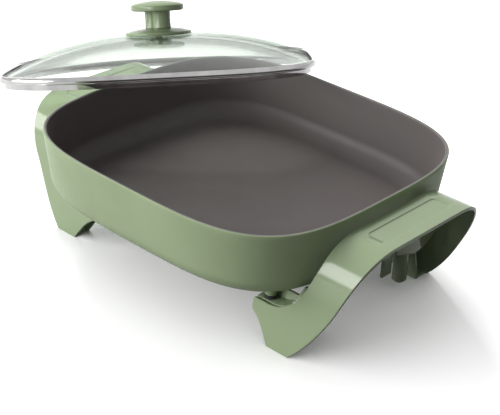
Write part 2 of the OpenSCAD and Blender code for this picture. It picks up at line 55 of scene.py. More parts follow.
FINE_MERGE = 1e-7
SKILLET = "skillet"
LID = "lid"
PAN_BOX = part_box("pan")
HANDLE_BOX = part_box("handle_right")
TABLE = HANDLE_BOX[0].z / MM  # the table's height in the frame

# ---- sizes -------------------------------------------------------------

# Pan
HALF_LEN = PAN_BOX[1].x / MM
HALF_WID = PAN_BOX[1].y / MM
RIM = PAN_BOX[1].z / MM - TABLE
PAN_LOW = PAN_BOX[0].z / MM - TABLE
PAN_DEPTH = RIM - PAN_LOW
CORNER_POWER = 3.74  # squareness of the pan's outline
WALL = 3.0
FLOOR = 5.0
WALL_DRAFT = 5.0  # lean of the wall down to the floor bend
FLOOR_BEND = 20.0
LIP_ROUND = 1.0
TURNS = 384  # points round the pan, the glass and the band

# Handles
GRIP_WID = 42.0
GRIP_HALF = 46.0  # half length of the grip's flat top
GRIP_TOP = HANDLE_BOX[1].z / MM - TABLE
GRIP_OUT = HANDLE_BOX[1].x / MM
GRIP_IN = GRIP_OUT - GRIP_WID
MOULD = 3.0  # wall of the mouldings
FOOT_REACH = 102.0  # from the pan's middle line to a foot's outer face
FOOT_DEPTH = 19.5
FOOT_LEN = 24.0
FOOT_INSET = 16.0  # from the rim's end to a foot's outer edge
FOOT_OUT = HALF_LEN - FOOT_INSET
FOOT_IN = FOOT_OUT - FOOT_LEN
WALL_LEAN = 10.0  # how far a leg's inner wall leans in, from the foot up to the shelf
SHELF = 37.0
SHELF_END = HANDLE_BOX[0].x / MM
FIN_H = 8.5  # height of a leg's inner wall above the shelf
FIN_TOP = PAN_LOW - 1.5
FIN_ROOT = 13.6  # width of the upright fin where it starts
FIN_TIP = 7.0
APRON_INSET = 9.2
APRON_X = GRIP_IN - APRON_INSET
APRON_LOW = 43.5
APRON_TOP = PAN_LOW + 2.5
APRON_NEAR = 30.5  # where each half of the apron starts beside the inlet
RECESS_WID = 20.0  # the shallow recess in the grip's top
RECESS_LEN = 92.0
RECESS_DEPTH = 0.8
RECESS_CORNER = 4.0
RECESS_SLOPE = 1.4  # width of the recess's soft edge

# Fixings and heater
STANDOFF_R = 5.5
STANDOFF_INSET = 53.0
STANDOFF_SHIFT = 3.4  # towards the middle line, clear of the leg's face
STANDOFF_X = HALF_LEN - STANDOFF_INSET
STANDOFF_Y = FOOT_REACH - FOOT_DEPTH + WALL_LEAN / 2 - STANDOFF_SHIFT
SADDLE_X = STANDOFF_X + STANDOFF_R
SCREW_BORE_R = 2.8
FLAT_WASHER_R = 5.4
HEATER_BEND = 18.0
PIN_Y = 14.0

# Lid
LID_LEFT = 58.0  # from the rim's left end to the lid's middle
LID_REAR = 46.5  # from the rim's rear to the lid's middle
LID_X = -HALF_LEN - LID_LEFT
LID_Y = HALF_WID - LID_REAR
LID_TURN = 44.0
LID_TILT = 18.7
LID_TILT_WAY = 239.2  # direction of the tilt's axis
OVERHANG = 1.0
LID_HALF_LEN = HALF_LEN + OVERHANG
LID_HALF_WID = HALF_WID + OVERHANG
BAND_H = 7.2
BAND_T = 0.8
BEAD_DEPTH = 2.6  # how far the band's bead stands out from its middle
BAND_CORNER = 1.5  # how much is cut off the solid band's lower corner
SKIRT_H = 5.7
SKIRT_GAP = 1.2  # between the skirt and the inside of the pan
SKIRT_INSET = OVERHANG + WALL + SKIRT_GAP
FIT = 0.05  # gap between pieces that are clamped together
GLASS_T = 4.0
GLASS_EDGE = 6.0
GLASS_LOW = -BAND_H / 2 + BAND_T + FIT
GLASS_HOLE_R = 4.0
DOME = 32.5  # top of the glass above the middle of the band
DOME_POWER = 2.45  # flatness of the dome's top

# Knob
KNOB_TURN = -38.0
KNOB_BORE_R = 2.8
BASE_R = 36.0
BASE_H = 7.0
STEM_H = 18.0
LOBE_R = 10.0
LOBE_SPREAD = 11.0  # between the stem's two lobes
CAP_LEN = 62.0
CAP_WID = 50.0
CAP_EDGE = 7.0
CAP_CROWN = 4.0
CAP_ROUND = 2.2
BASE_Z = DOME + 0.1
STEM_Z = BASE_Z + BASE_H + FIT
CAP_Z = STEM_Z + STEM_H + FIT

# ---- small geometry ----------------------------------------------------


def turns_round(count):
    """Directions all the way round, in radians."""
    return [2 * pi * i / count for i in range(count)]


def outline_point(half_len, half_wid, power, turn):
    """A point on a rounded rectangle, turn being its direction from the middle."""
    c, s = cos(turn), sin(turn)
    reach = (abs(c / half_len) ** power + abs(s / half_wid) ** power) ** (-1 / power)
    return reach * c, reach * s


def bezier(points, steps):
    """Points along a cubic Bezier curve."""
    a, b, c, d = (Vector(p) for p in points)
    out = []
    for i in range(steps + 1):
        t = i / steps
        out.append((1 - t) ** 3 * a + 3 * t * (1 - t) ** 2 * b + 3 * t * t * (1 - t) * c + t**3 * d)
    return out


def rounded(points, rounds=2):
    """An open path with its corners cut away, its ends kept."""
    path = [Vector(p) for p in points]
    for _ in range(rounds):
        cut = [path[0]]
        for a, b in zip(path, path[1:]):
            cut += [a.lerp(b, 0.25), a.lerp(b, 0.75)]
        path = cut + [path[-1]]
    return path


def lengths(path):
    """Distance along a path at each of its points."""
    out = [0.0]
    for a, b in zip(path, path[1:]):
        out.append(out[-1] + (b - a).length)
    return out


def normals(path):
    """The direction to the left of a flat path at each of its points."""
    out = []
    for i in range(len(path)):
        behind, ahead = Vector(path[max(i - 1, 0)]), Vector(path[min(i + 1, len(path) - 1)])
        along = (ahead - behind).normalized()
        out.append(Vector((-along[1], along[0])))
    return out


def lookup(xs, ys, x):
    """The value at x of a line through (xs, ys), xs rising; ys are numbers or vectors."""
    low, high = 0, len(xs) - 1
    if x <= xs[0]:
        return ys[0]
    if x >= xs[-1]:
        return ys[-1]
    while high - low > 1:
        mid = (low + high) // 2
        if xs[mid] > x:
            high = mid
        else:
            low = mid
    share = (x - xs[low]) / (xs[high] - xs[low])
    return ys[low] + (ys[high] - ys[low]) * share


def smooth_step(x):
    """0 below 0, 1 above 1 and a soft rise between them."""
    x = min(max(x, 0.0), 1.0)
    return x * x * (3 - 2 * x)


def spread(count, marks, width, crowding=5):
    """Shares from 0 to 1 that lie closer together round the marks."""
    fine = 2000
    total, sums = 0.0, [0.0]
    for i in range(fine):
        at = (i + 0.5) / fine
        total += 1 + sum(crowding / (1 + ((at - m) / width) ** 4) for m in marks)
        sums.append(total)
    even = [k / fine for k in range(fine + 1)]
    return [lookup(sums, even, total * i / count) for i in range(count + 1)]


def placed(point):
    """Millimetres above the table to metres in the frame."""
    x, y, z = point
    return x * MM, y * MM, (z + TABLE) * MM


# ---- meshes and pieces -------------------------------------------------


def add_piece(name, mesh, body, node, sharp=38):
    """Links a finished mesh as the piece that replaces a solid."""
    mesh.shade_smooth()
    mesh.set_sharp_from_angle(angle=radians(sharp))
    piece = bpy.data.objects.new(name, mesh)
    bpy.context.scene.collection.objects.link(piece)
    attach(piece, body)
    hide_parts(node)


def mesh_of(name, verts, faces, materials=(), edges=()):
    """A mesh from lists of its points, faces and loose edges."""
    mesh = bpy.data.meshes.new(name)
    mesh.from_pydata(verts, edges, faces)
    for m in materials:
        mesh.materials.append(m)
    mesh.update()
    return mesh


def outward(mesh, merge=None):
    """Turns a closed mesh's faces outwards, its seams joined first where a distance is given."""
    b = bmesh.new()
    b.from_mesh(mesh)
    if merge:
        bmesh.ops.remove_doubles(b, verts=b.verts, dist=merge)
    bmesh.ops.recalc_face_normals(b, faces=b.faces)
    b.to_mesh(mesh)
    b.free()
    return mesh


def linked_holder(mesh):
    """An object that carries a mesh while its modifiers work."""
    holder = bpy.data.objects.new("holder", mesh)
    bpy.context.scene.collection.objects.link(holder)
    return holder


def plain_mesh(holder):
    """What an object's modifiers make, as a mesh without them."""
    graph = bpy.context.evaluated_depsgraph_get()
    return bpy.data.meshes.new_from_object(holder.evaluated_get(graph), depsgraph=graph)


def bevelled(mesh, width, segments=3, angle=55):
    """The mesh with its sharp edges rounded."""
    holder = linked_holder(mesh)
    bevel = holder.modifiers.new("bevel", "BEVEL")
    bevel.width = width * MM
    bevel.segments = segments
    bevel.limit_method = "ANGLE"
    bevel.angle_limit = radians(angle)
    bevel.harden_normals = False
    result = plain_mesh(holder)
    bpy.data.objects.remove(holder)
    return result


def joined(name, meshes):
    """Several meshes of one material as one."""
    b = bmesh.new()
    for mesh in meshes:
        b.from_mesh(mesh)
    out = bpy.data.meshes.new(name)
    for m in meshes[0].materials:
        out.materials.append(m)
    b.to_mesh(out)
    b.free()
    return out


def transformed(mesh, matrix):
    """A copy of the mesh, moved; its faces are turned back if the move mirrors it."""
    out = mesh.copy()
    out.transform(matrix)
    if matrix.determinant() < 0:
        out.flip_normals()
    return out


def ring_mesh(name, rings, material, closed=False):
    """Rings joined into a closed skin; open ends get a pole in their middle."""
    n = len(rings[0])
    count = len(rings)
    verts = [tuple(v * MM for v in p) for ring in rings for p in ring]
    faces = []
    for r in range(count if closed else count - 1):
        s = (r + 1) % count
        for i in range(n):
            j = (i + 1) % n
            faces.append((r * n + i, r * n + j, s * n + j, s * n + i))
    if not closed:
        for r in (0, count - 1):
            middle = sum((Vector(p) for p in rings[r]), Vector()) / n
            verts.append(tuple(middle * MM))
            for i in range(n):
                corner = (r * n + i, r * n + (i + 1) % n, len(verts) - 1)
                faces.append(corner if r else corner[::-1])
    return outward(mesh_of(name, verts, faces, [material]))


def lathe(name, section, material, turns=128, closed=False):
    """A section of (radius, height) turned about the Z axis, in the piece's own frame."""
    rings = [[(r * cos(t), r * sin(t), z) for t in turns_round(turns)] for r, z in section]
    return ring_mesh(name, rings, material, closed)


# ---- materials ---------------------------------------------------------


class Nodes:
    """A node tree in the making, with short ways to add what it needs."""

    def __init__(self, tree):
        self.tree = tree

    def add(self, kind, inputs=None, **settings):
        """A node with its settings; its inputs are fed numbers, colours or other nodes' sockets."""
        node = self.tree.nodes.new(kind)
        for key, value in settings.items():
            setattr(node, key, value)
        for key, value in (inputs or {}).items():
            self.feed(node.inputs[key], value)
        return node

    def feed(self, socket, value):
        """Links a socket or sets a value."""
        if isinstance(value, bpy.types.NodeSocket):
            self.tree.links.new(value, socket)
        else:
            socket.default_value = value

    def math(self, operation, a, b=0.0):
        """The result of a sum or a function of one or two values."""
        return self.add("ShaderNodeMath", {0: a, 1: b}, operation=operation).outputs[0]


def tone(red, green, blue):
    """A colour given as it looks on a screen, 0 to 255, as the shader wants it."""
    out = []
    for v in (red, green, blue):
        v = v / 255
        out.append(v / 12.92 if v <= 0.04045 else ((v + 0.055) / 1.055) ** 2.4)
    return (*out, 1.0)


class Finish(Nodes):
    """The node tree of a piece's material."""

    def __init__(self, name):
        self.material = bpy.data.materials.new(name)
        self.material.use_nodes = True
        super().__init__(self.material.node_tree)
        self.shader = self.tree.nodes["Principled BSDF"]
        self.body = self.shader.outputs["BSDF"]
        self.place = self.add("ShaderNodeTexCoord").outputs["Object"]

    def noise(self, scale, detail=3.0, stretch=None):
        """A cloudy pattern on the piece, so many waves to the metre."""
        place = self.place
        if stretch:
            place = self.add("ShaderNodeMapping", {"Vector": place, "Scale": stretch}).outputs["Vector"]
        inputs = {"Vector": place, "Scale": scale, "Detail": detail}
        return self.add("ShaderNodeTexNoise", inputs).outputs["Fac"]

    def ramp(self, fac, stops):
        """Colours read off stops of (place, colour) by a pattern."""
        node = self.add("ShaderNodeValToRGB", {"Fac": fac})
        for i, (at, colour) in enumerate(stops):
            stop = node.color_ramp.elements[i] if i < 2 else node.color_ramp.elements.new(at)
            stop.position = at
            stop.color = colour
        return node.outputs["Color"]

    def span(self, value, low, high, from_low=0.3, from_high=0.7):
        """A pattern's values stretched to run from low to high."""
        inputs = {"Value": value, "From Min": from_low, "From Max": from_high}
        return self.add("ShaderNodeMapRange", {**inputs, "To Min": low, "To Max": high}).outputs["Result"]

    def bump(self, height, strength, distance, under=None):
        """A relief from a pattern, over another relief where one is given."""
        inputs = {"Height": height, "Strength": strength, "Distance": distance}
        if under is not None:
            inputs["Normal"] = under
        return self.add("ShaderNodeBump", inputs).outputs["Normal"]

    def mix(self, share, first, second):
        """Two shaders, the second by the share given."""
        return self.add("ShaderNodeMixShader", {0: share, 1: first, 2: second}).outputs[0]

    def into(self, socket, name):
        """Links a value to one of the shader's sockets."""
        self.feed(self.shader.inputs[name], socket)

    def colour(self, fac, dark, light, low=0.3, high=0.7):
        """Two tones that follow a pattern between two of its values."""
        self.into(self.ramp(fac, [(low, tone(*dark)), (high, tone(*light))]), "Base Color")

    def sheen(self, fac, low, high):
        """Roughness that follows a pattern."""
        self.into(self.span(fac, low, high), "Roughness")

    def fixed(self, **values):
        """Sets the shader's own sockets, its names written with underscores."""
        for key, value in values.items():
            self.shader.inputs[key.replace("_", " ")].default_value = value

    def surface(self, shader):
        """What the material shows in the end, where it isn't the shader alone."""
        self.feed(self.tree.nodes["Material Output"].inputs["Surface"], shader)


def enamel():
    """Satin sage paint fired on cast aluminium, with a faint orange peel."""
    s = Finish("sage_enamel")
    s.colour(s.noise(18, 4), (141, 157, 122), (147, 163, 128), 0.35, 0.65)
    s.sheen(s.noise(60, 5), 0.40, 0.50)
    s.into(s.bump(s.noise(900, 2), 0.10, 0.0004), "Normal")
    s.fixed(Specular_IOR_Level=0.3)
    return s.material


def nonstick():
    """Charcoal ceramic coating with fine lighter specks and soft scouring."""
    s = Finish("nonstick_coating")
    s.colour(s.noise(1400, 1), (88, 83, 81), (100, 96, 94), 0.60, 0.74)
    s.sheen(s.noise(30, 6), 0.46, 0.56)
    s.into(s.bump(s.noise(700, 2), 0.08, 0.0003), "Normal")
    s.fixed(Specular_IOR_Level=0.35)
    return s.material


def bare_rim():
    """Machined aluminium edge with fine turning lines."""
    s = Finish("machined_rim")
    lines = s.noise(120, 2, stretch=(1, 1, 30))
    s.colour(lines, (112, 111, 108), (134, 133, 130))
    s.sheen(lines, 0.28, 0.40)
    s.fixed(Metallic=0.35)
    return s.material


def sage_plastic():
    """Glossy moulded plastic with slow flow waves under a clean skin."""
    s = Finish("sage_plastic")
    s.colour(s.noise(14, 3), (145, 162, 127), (150, 167, 132))
    s.sheen(s.noise(40, 4), 0.11, 0.15)
    waves = s.bump(s.noise(9, 2), 0.12, 0.004)
    s.into(s.bump(s.noise(1100, 1), 0.03, 0.0002, waves), "Normal")
    s.fixed(Specular_IOR_Level=0.45)
    return s.material


def knob_plastic():
    """The knob's moulded plastic, more satin than the handles' and darkened in tone as painted shade."""
    s = Finish("knob_plastic")
    # the handles' sage tones made darker here: painted shade on the knob
    s.colour(s.noise(20, 3), (122, 139, 104), (128, 145, 110))
    s.sheen(s.noise(60, 4), 0.20, 0.26)
    s.into(s.bump(s.noise(1100, 1), 0.04, 0.0002), "Normal")
    s.fixed(Specular_IOR_Level=0.45)
    return s.material


def polished_steel():
    """Rolled stainless steel with a light clouding."""
    s = Finish("polished_steel")
    grain = s.noise(60, 2)
    s.colour(grain, (168, 167, 167), (188, 187, 187))
    s.sheen(grain, 0.08, 0.13)
    s.fixed(Metallic=1.0)
    return s.material


def plated_steel():
    """Dull plated steel of screws, nuts and washers."""
    s = Finish("plated_steel")
    s.colour(s.noise(300, 4), (150, 150, 152), (186, 186, 188))
    s.sheen(s.noise(500, 3), 0.28, 0.42)
    s.fixed(Metallic=1.0)
    return s.material


def sheath_steel():
    """Heater sheath, browned by heat."""
    s = Finish("heater_sheath")
    s.colour(s.noise(70, 5), (70, 66, 62), (98, 90, 82))
    s.sheen(s.noise(200, 4), 0.45, 0.6)
    s.fixed(Metallic=0.7)
    return s.material


def ceramic():
    """Unglazed white ceramic of the pins' insulators."""
    s = Finish("white_ceramic")
    s.colour(s.noise(400, 3), (226, 223, 214), (236, 233, 225))
    s.sheen(s.noise(250, 3), 0.35, 0.5)
    return s.material


def dark_rubber():
    """Fine-grained dark rubber of the seals and insulating rings."""
    s = Finish("dark_rubber")
    s.colour(s.noise(500, 3), (34, 34, 34), (46, 46, 45))
    s.sheen(s.noise(700, 3), 0.55, 0.7)
    s.into(s.bump(s.noise(1500, 2), 0.15, 0.0002), "Normal")
    return s.material


def clear_glass():
    """Tempered glass, faintly green, that lets light through to what lies under it.

    Seen nearly edge on it is veiled by a pale tone, and its shadow is light.
    """
    s = Finish("clear_glass")
    edge_on = s.add("ShaderNodeLayerWeight", {"Blend": 0.5}).outputs["Facing"]
    facing = s.math("ADD", edge_on, s.span(s.noise(6, 2), -0.02, 0.02))
    greens = ((0.15, (234, 238, 233)), (0.45, (218, 224, 217)),
              (0.70, (200, 208, 200)), (0.92, (168, 177, 168)))
    s.into(s.ramp(facing, [(at, tone(*green)) for at, green in greens]), "Base Color")
    s.fixed(Roughness=0.0, IOR=1.5, Transmission_Weight=1.0)
    veil = s.add("ShaderNodeBsdfTransparent", {"Color": tone(208, 215, 208)}).outputs["BSDF"]
    light_shadow = s.add("ShaderNodeBsdfTransparent", {"Color": (0.93, 0.95, 0.94, 1)}).outputs["BSDF"]
    veiled = s.mix(s.span(facing, 0.0, 0.85, 0.72, 0.93), s.body, veil)
    rays = s.add("ShaderNodeLightPath").outputs
    s.surface(s.mix(rays["Is Shadow Ray"], veiled, light_shadow))
    return s.material


ENAMEL = enamel()
NONSTICK = nonstick()
BARE_RIM = bare_rim()
PLASTIC = sage_plastic()
KNOB_PLASTIC_IN_PAINTED_SHADE = knob_plastic()
STEEL = polished_steel()
PLATED = plated_steel()
SHEATH = sheath_steel()
CERAMIC = ceramic()
RUBBER = dark_rubber()
GLASS = clear_glass()

# ---- node trees that shape pieces --------------------------------------


class Shape(Nodes):
    """A Geometry Nodes tree."""

    def __init__(self, name, inputs):
        super().__init__(bpy.data.node_groups.new(name, "GeometryNodeTree"))
        face = self.tree.interface
        face.new_socket("Geometry", in_out="INPUT", socket_type="NodeSocketGeometry")
        for label, kind in inputs:
            face.new_socket(label, in_out="INPUT", socket_type="NodeSocket" + kind)
        face.new_socket("Geometry", in_out="OUTPUT", socket_type="NodeSocketGeometry")
        self.given = self.add("NodeGroupInput").outputs
        self.end = self.add("NodeGroupOutput")

    def attribute(self, label):
        """A number that the mesh carries under a name."""
        node = self.add("GeometryNodeInputNamedAttribute", {"Name": label}, data_type="FLOAT")
        return node.outputs["Attribute"]

    def finish(self, geometry, materials):
        """Realises the result and gives each zone of it its material."""
        geometry = self.add("GeometryNodeRealizeInstances", {"Geometry": geometry}).outputs["Geometry"]
        for zone, label in enumerate(materials):
            inputs = {"Geometry": geometry, "Material": self.given[label]}
            if len(materials) > 1:
                inputs["Selection"] = self.math("GREATER_THAN", self.attribute("zone"), zone - 0.5)
            geometry = self.add("GeometryNodeSetMaterial", inputs).outputs["Geometry"]
        self.feed(self.end.inputs["Geometry"], geometry)
        return self.tree


def run_tree(tree, source, **values):
    """Runs a tree on a mesh and returns its result as a plain mesh.

    The values are named as the tree's inputs, with underscores for spaces.
    """
    holder = linked_holder(source)
    modifier = holder.modifiers.new("shape", "NODES")
    modifier.node_group = tree
    for item in tree.interface.items_tree:
        key = item.name.replace(" ", "_")
        if item.in_out == "INPUT" and key in values:
            modifier[item.identifier] = values[key]
    mesh = plain_mesh(holder)
    holder.modifiers.remove(modifier)
    bpy.data.objects.remove(holder)
    return mesh


RING_VALUES = ("turn", "inset", "share", "power", "height")
POLE_SHARE = 1e-5  # size of the ring that a pole stands for


def rounded_rings_tree():
    """Moves each point of a skin on to a rounded rectangle, as the values it carries say."""
    s = Shape("rounded_rings", [("Half length", "Float"), ("Half width", "Float"),
                                ("First", "Material"), ("Second", "Material"), ("Third", "Material")])
    turn, inset, share, power, height = (s.attribute(label) for label in RING_VALUES)
    across, along = s.math("COSINE", turn), s.math("SINE", turn)
    terms = []
    for direction, half in ((across, "Half length"), (along, "Half width")):
        size = s.math("MULTIPLY", s.math("SUBTRACT", s.given[half], inset), share)
        ratio = s.math("ABSOLUTE", s.math("DIVIDE", direction, size))
        terms.append(s.math("POWER", ratio, power))
    reach = s.math("POWER", s.math("ADD", *terms), s.math("DIVIDE", -1.0, power))
    place = s.add("ShaderNodeCombineXYZ", {
        "X": s.math("MULTIPLY", across, reach),
        "Y": s.math("MULTIPLY", along, reach),
        "Z": height,
    }).outputs["Vector"]
    moved = s.add("GeometryNodeSetPosition", {"Geometry": s.given["Geometry"], "Position": place})
    return s.finish(moved.outputs["Geometry"], ["First", "Second", "Third"])


def at_points_tree():
    """Sets a copy of the given object on every point of the mesh."""
    s = Shape("at_points", [("Fixing", "Object"), ("Finish", "Material")])
    fixing = s.add("GeometryNodeObjectInfo", {"Object": s.given["Fixing"]}).outputs["Geometry"]
    points = s.add("GeometryNodeMeshToPoints", {"Mesh": s.given["Geometry"]}).outputs["Points"]
    copies = s.add("GeometryNodeInstanceOnPoints", {"Points": points, "Instance": fixing})
    return s.finish(copies.outputs["Instances"], ["Finish"])


def sheath_tree():
    """A round tube along the mesh's edges."""
    s = Shape("tube_along_path", [("Radius", "Float"), ("Finish", "Material")])
    path = s.add("GeometryNodeMeshToCurve", {"Mesh": s.given["Geometry"]}).outputs["Curve"]
    section = s.add("GeometryNodeCurvePrimitiveCircle", {"Resolution": 24, "Radius": s.given["Radius"]})
    tube = s.add("GeometryNodeCurveToMesh",
                 {"Curve": path, "Profile Curve": section.outputs["Curve"], "Fill Caps": True})
    return s.finish(tube.outputs["Mesh"], ["Finish"])


ROUNDED_RINGS = rounded_rings_tree()
AT_POINTS = at_points_tree()
TUBE = sheath_tree()


def ringed(name, rings, half_len, half_wid, materials, closed=False):
    """A skin through rings on rounded rectangles; poles close its open ends.

    A ring is (inset, share, power, height, zone), its zone running on to the next ring.
    """
    count = len(rings)
    points, faces, zones = [], [], []
    for inset, share, power, height, _ in rings:
        for turn in turns_round(TURNS):
            points.append((turn, inset * MM, share, power, height * MM))
    for r in range(count if closed else count - 1):
        s = (r + 1) % count
        for i in range(TURNS):
            j = (i + 1) % TURNS
            faces.append((r * TURNS + i, r * TURNS + j, s * TURNS + j, s * TURNS + i))
            zones.append(rings[r][4])
    if not closed:
        for r in (0, count - 1):
            inset, _, power, height, _ = rings[r]
            points.append((0.0, inset * MM, POLE_SHARE, power, height * MM))
            for i in range(TURNS):
                faces.append((r * TURNS + i, r * TURNS + (i + 1) % TURNS, len(points) - 1))
                zones.append(rings[min(r, count - 2)][4])
    unplaced = [(i, 0, 0) for i in range(len(points))]
    source = mesh_of(name + "_rings", unplaced, faces)
    for key, numbers in zip(RING_VALUES, zip(*points)):
        source.attributes.new(key, "FLOAT", "POINT").data.foreach_set("value", numbers)
    source.attributes.new("zone", "FLOAT", "FACE").data.foreach_set("value", zones)
    first, second, third = (list(materials) * 3)[:3]
    mesh = run_tree(ROUNDED_RINGS, source, Half_length=half_len * MM, Half_width=half_wid * MM,
                    First=first, Second=second, Third=third)
    for key in (*RING_VALUES, "zone"):
        mesh.attributes.remove(mesh.attributes[key])
    return outward(mesh, FINE_MERGE)


def fixings(name, single, spots, material):
    """Copies of one small mesh at each of the spots."""
    holder = bpy.data.objects.new(name + "_single", single)
    bpy.context.scene.collection.objects.link(holder)
    mesh = run_tree(AT_POINTS, mesh_of(name + "_spots", [placed(p) for p in spots], []),
                    Fixing=holder, Finish=material)
    bpy.data.objects.remove(holder)
    return mesh


# ---- pan ---------------------------------------------------------------


def wall_section(inset_from, shrink):
    """Inset and depth down the pan's wall and round the floor bend, its depths times shrink."""
    run = PAN_DEPTH - FLOOR_BEND
    steps, bend_steps = 12, 14
    points = [(WALL_DRAFT * i / steps, LIP_ROUND + (run - LIP_ROUND) * i / steps) for i in range(steps + 1)]
    for t in (radians(90 * i / bend_steps) for i in range(1, bend_steps + 1)):
        points.append((WALL_DRAFT + FLOOR_BEND * (1 - cos(t)), run + FLOOR_BEND * sin(t)))
    return [(inset_from + inset, depth * shrink) for inset, depth in points]


def make_pan():
    """The vessel: enamel outside, a machined rim, coating inside."""
    outside, edge, inside = range(3)
    outer = wall_section(0, 1)
    inner = wall_section(WALL, (PAN_DEPTH - FLOOR) / PAN_DEPTH)
    floor_shares = (0.2, 0.45, 0.7, 0.9)
    rings = []

    def add_ring(inset, height, zone, share=1):
        rings.append((inset, share, CORNER_POWER, height + TABLE, zone))

    def add_lip_ring(turn, zone, wall=None):
        """A ring on the rim's rounded edge; 0 degrees is on the wall and 90 on top."""
        inset = LIP_ROUND * (1 - cos(radians(turn)))
        height = RIM - LIP_ROUND * (1 - sin(radians(turn)))
        add_ring(wall - inset if wall else inset, height, zone)

    for share in floor_shares:
        add_ring(outer[-1][0], RIM - outer[-1][1], outside, share)
    for inset, depth in outer[::-1]:
        add_ring(inset, RIM - depth, outside)
    for turn, zone in ((30, outside), (60, outside), (90, edge)):
        add_lip_ring(turn, zone)
    for turn, zone in ((90, inside), (60, edge), (30, inside)):
        add_lip_ring(turn, zone, WALL)
    for inset, depth in inner:
        add_ring(inset, RIM - depth, inside)
    for share in floor_shares[::-1]:
        add_ring(inner[-1][0], RIM - inner[-1][1], inside, share)
    mesh = ringed("pan_shell", rings, HALF_LEN, HALF_WID, [ENAMEL, BARE_RIM, NONSTICK])
    add_piece("pan_shell", mesh, SKILLET, "pan")


make_pan()

# ---- handles -----------------------------------------------------------

# A leg's face across the pan, from the foot up to the grip, as (distance from the middle, height)
KNEE = (FOOT_REACH - 10.5, 0.54 * GRIP_TOP)  # where the leg turns in to become the grip
LEG_FACE = bezier([(FOOT_REACH, 0), (FOOT_REACH - 3.7, 0.18 * GRIP_TOP),
                   (FOOT_REACH - 9.7, 0.37 * GRIP_TOP), KNEE], 60)
LEG_FACE += bezier([KNEE, (FOOT_REACH - 12, 0.82 * GRIP_TOP), (GRIP_HALF + 28, GRIP_TOP),
                    (GRIP_HALF, GRIP_TOP)], 90)[1:]
LEG_RUN = lengths(LEG_FACE)
LEG_HEIGHTS = [p[1] for p in LEG_FACE]

# The moulding's two edges along the pan, from the foot up to the grip, as (x, height)
OUTER_EDGE = bezier([(GRIP_OUT, GRIP_TOP), (GRIP_OUT - 14, 0.67 * GRIP_TOP),
                     (FOOT_OUT + 32, 0.27 * GRIP_TOP), (FOOT_OUT, 0)], 80)[::-1]
HEEL = (SHELF_END + 9, SHELF - 16.6)
INNER_FOOT = rounded([(FOOT_IN, 0), (FOOT_IN - 4.5, 7), (FOOT_IN - 7.5, 12), HEEL,
                      (SHELF_END + 4.7, SHELF - 13.4), (SHELF_END + 0.9, SHELF - 11.3),
                      (SHELF_END, SHELF - 6.4), (SHELF_END, SHELF - 1.2)])
SHELF_CORNER = [Vector((SHELF_END + 0.35, SHELF - 0.35)), Vector((SHELF_END + 1.2, SHELF))]
SADDLE_STEPS = 60
SADDLE = bezier([(SADDLE_X, SHELF), (FOOT_OUT + 1, SHELF), (GRIP_IN - 6, 0.66 * GRIP_TOP),
                 (GRIP_IN, GRIP_TOP)], SADDLE_STEPS)
INNER_EDGE = INNER_FOOT + SHELF_CORNER + SADDLE

LEG_ROWS = 170  # rows of points up a leg
ACROSS_COLUMNS = 56  # and faces across it
GRIP_ROWS = 120  # rows along the grip's flat top


def run_at(height):
    """Distance along the leg's face at which it has a height."""
    return lookup(LEG_HEIGHTS, LEG_RUN, height)


def outer_x(height):
    """Where the moulding's outer edge is at a height."""
    return lookup([p[1] for p in OUTER_EDGE], [p[0] for p in OUTER_EDGE], height)


def leg_rows():
    """Pairs of (x, run) on the moulding's two edges, from the foot up to the grip."""
    runs = lengths(INNER_EDGE)
    # Spots on the inner edge, and the heights on the outer edge that they are joined to
    anchors = [(INNER_EDGE[0], 0), (HEEL, 16), (SHELF_CORNER[0], 29), (SADDLE[0], 37.5),
               (SADDLE[SADDLE_STEPS // 2], 76), (INNER_EDGE[-1], GRIP_TOP)]
    alongs, heights = [], []
    for spot, height in anchors:
        near = min(range(len(INNER_EDGE)), key=lambda i: (INNER_EDGE[i] - Vector(spot)).length)
        alongs.append(runs[near])
        heights.append(height)
    rows = []
    for k in range(LEG_ROWS + 1):
        along = runs[-1] * k / LEG_ROWS
        x, z = lookup(runs, INNER_EDGE, along)
        height = lookup(alongs, heights, along)
        rows.append(((x, run_at(z)), (outer_x(height), run_at(height))))
    return rows


def recess_sink(x, y):
    """How deep the grip's recess is at a place on its top."""
    dx = abs(x - (GRIP_IN + GRIP_OUT) / 2) - (RECESS_WID / 2 - RECESS_CORNER)
    dy = abs(y) - (RECESS_LEN / 2 - RECESS_CORNER)
    outside = hypot(max(dx, 0), max(dy, 0)) + min(max(dx, dy), 0) - RECESS_CORNER
    return RECESS_DEPTH * smooth_step(0.5 - outside / RECESS_SLOPE)


def leg_points(side, shares):
    """Rows of (outer, inner) points up one leg; side is 1 for the leg on the +Y side."""
    slants = normals(LEG_FACE)
    block = []
    for (x_in, run_in), (x_out, run_out) in leg_rows():
        row = []
        for share in shares:
            x = x_in + (x_out - x_in) * share
            run = run_in + (run_out - run_in) * share
            face = lookup(LEG_RUN, LEG_FACE, run)
            back = face + lookup(LEG_RUN, slants, run) * MOULD
            sink = recess_sink(x, face[0]) if face[1] > GRIP_TOP - 0.5 else 0
            row.append(((x, side * face[0], face[1] - sink), (x, side * back[0], max(back[1], 0))))
        block.append(row)
    return block


def grip_points(shares):
    """Rows of (outer, inner) points along the grip's flat top, from +Y to -Y."""
    marks = [(GRIP_HALF + k * RECESS_LEN / 2) / GRIP_HALF / 2 for k in (-1, 1)]
    block = []
    for along in spread(GRIP_ROWS, marks, 0.02)[1:-1]:
        y = GRIP_HALF - 2 * GRIP_HALF * along
        row = []
        for share in shares:
            x = GRIP_IN + (GRIP_OUT - GRIP_IN) * share
            row.append(((x, y, GRIP_TOP - recess_sink(x, y)), (x, y, GRIP_TOP - MOULD)))
        block.append(row)
    return block


